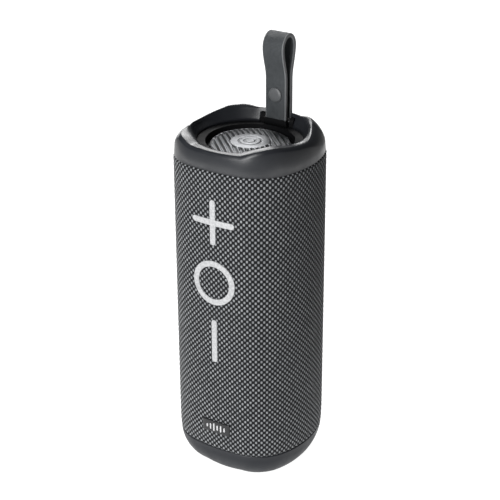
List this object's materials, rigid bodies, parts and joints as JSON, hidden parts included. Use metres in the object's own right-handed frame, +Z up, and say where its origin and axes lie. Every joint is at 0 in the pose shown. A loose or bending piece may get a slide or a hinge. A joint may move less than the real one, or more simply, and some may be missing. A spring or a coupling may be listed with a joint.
{
  "type": "shower speaker",
  "caption": "Upright portable shower speaker: rounded body in a woven sleeve, wavy elastomer bumpers, end radiators, front keys, rear port panel and a swinging loop strap.",
  "frame": {"origin": "middle of the resting plane, under the body's axis", "axes": "+Z up along the body, -Y the face with the key marks, +X to the right of that face"},
  "size_m": [0.07, 0.067, 0.217],
  "materials": {
    "woven_fabric": "woven",
    "elastomer": "satin",
    "rubber_black": "matte",
    "abs_dark": "matte",
    "radiator_metal": "anodised",
    "steel": "satin",
    "cone_paper": "matte",
    "white_mark": "satin",
    "circuit_board": "satin",
    "badge_gloss": "gloss",
    "light_guide": "gloss",
    "cell_wrap": "gloss",
    "strap_weave": "woven",
    "snap_metal": "satin"
  },
  "bodies": {
    "housing": {"fabric_sleeve": "woven_fabric", "top_bumper": "elastomer", "bottom_bumper": "elastomer", "foot_pads": "rubber_black", "top_frame": "abs_dark", "bottom_frame": "abs_dark", "top_gasket": "rubber_black", "bottom_gasket": "rubber_black", "top_surround": "rubber_black", "bottom_surround": "rubber_black", "front_cabinet": "abs_dark", "rear_cabinet": "abs_dark", "driver_basket": "steel", "driver_gasket": "rubber_black", "driver_surround": "rubber_black", "driver_magnet": "steel", "key_board": "circuit_board", "front_badge": "badge_gloss", "rear_panel": "elastomer", "button_board": "circuit_board", "light_guide": "light_guide", "usb_c_socket": "steel", "port_board": "circuit_board", "battery_cells": "cell_wrap", "battery_holder": "abs_dark", "main_board": "circuit_board", "strap_bar": "steel", "top_frame_screws": "steel", "bottom_frame_screws": "steel", "cabinet_screws": "steel", "driver_screws": "steel", "board_screws": "steel"},
    "top_plate": {"top_radiator": "radiator_metal", "top_weight": "steel"},
    "bottom_plate": {"bottom_radiator": "radiator_metal", "bottom_weight": "steel"},
    "cone": {"driver_cone": "cone_paper"},
    "volume_up": {"volume_up_key": "white_mark"},
    "play": {"play_key": "white_mark"},
    "volume_down": {"volume_down_key": "white_mark"},
    "power": {"power_button": "rubber_black"},
    "pairing": {"pairing_button": "rubber_black"},
    "bass": {"bass_button": "rubber_black"},
    "port_flap": {"port_cover": "rubber_black"},
    "strap": {"strap_band": "strap_weave", "strap_clip": "abs_dark", "strap_snap": "snap_metal"}
  },
  "joints": [
    {"name": "top_radiator_travel", "type": "slide", "parent": "housing", "child": "top_plate", "axis": [0, 0, 1], "range_m": [-0.0025, 0.0025], "stiffness_N_per_m": 2000},
    {"name": "bottom_radiator_travel", "type": "slide", "parent": "housing", "child": "bottom_plate", "axis": [0, 0, -1], "range_m": [-0.0025, 0.0025], "stiffness_N_per_m": 2000},
    {"name": "cone_travel", "type": "slide", "parent": "housing", "child": "cone", "axis": [0, -1, 0], "range_m": [-0.0015, 0.0015], "stiffness_N_per_m": 1500},
    {"name": "volume_up_press", "type": "slide", "parent": "housing", "child": "volume_up", "axis": [0, 1, 0], "range_m": [0, 0.0003], "stiffness_N_per_m": 3000},
    {"name": "play_press", "type": "slide", "parent": "housing", "child": "play", "axis": [0, 1, 0], "range_m": [0, 0.0003], "stiffness_N_per_m": 3000},
    {"name": "volume_down_press", "type": "slide", "parent": "housing", "child": "volume_down", "axis": [0, 1, 0], "range_m": [0, 0.0003], "stiffness_N_per_m": 3000},
    {"name": "power_press", "type": "slide", "parent": "housing", "child": "power", "axis": [0, -1, 0], "range_m": [0, 0.0004], "stiffness_N_per_m": 3000},
    {"name": "pairing_press", "type": "slide", "parent": "housing", "child": "pairing", "axis": [0, -1, 0], "range_m": [0, 0.0004], "stiffness_N_per_m": 3000},
    {"name": "bass_press", "type": "slide", "parent": "housing", "child": "bass", "axis": [0, -1, 0], "range_m": [0, 0.0004], "stiffness_N_per_m": 3000},
    {"name": "port_cover_hinge", "type": "hinge", "parent": "housing", "child": "port_flap", "pos_m": [0, 0.032, 0.0942], "axis": [-1, 0, 0], "range_deg": [0, 90]},
    {"name": "strap_swing", "type": "hinge", "parent": "housing", "child": "strap", "pos_m": [0, 0.0264, 0.173], "axis": [1, 0, 0], "range_deg": [-3, 38]}
  ],
  "couplings": [
    {"joint": "bottom_radiator_travel", "follows": "top_radiator_travel", "ratio": 1}
  ]
}
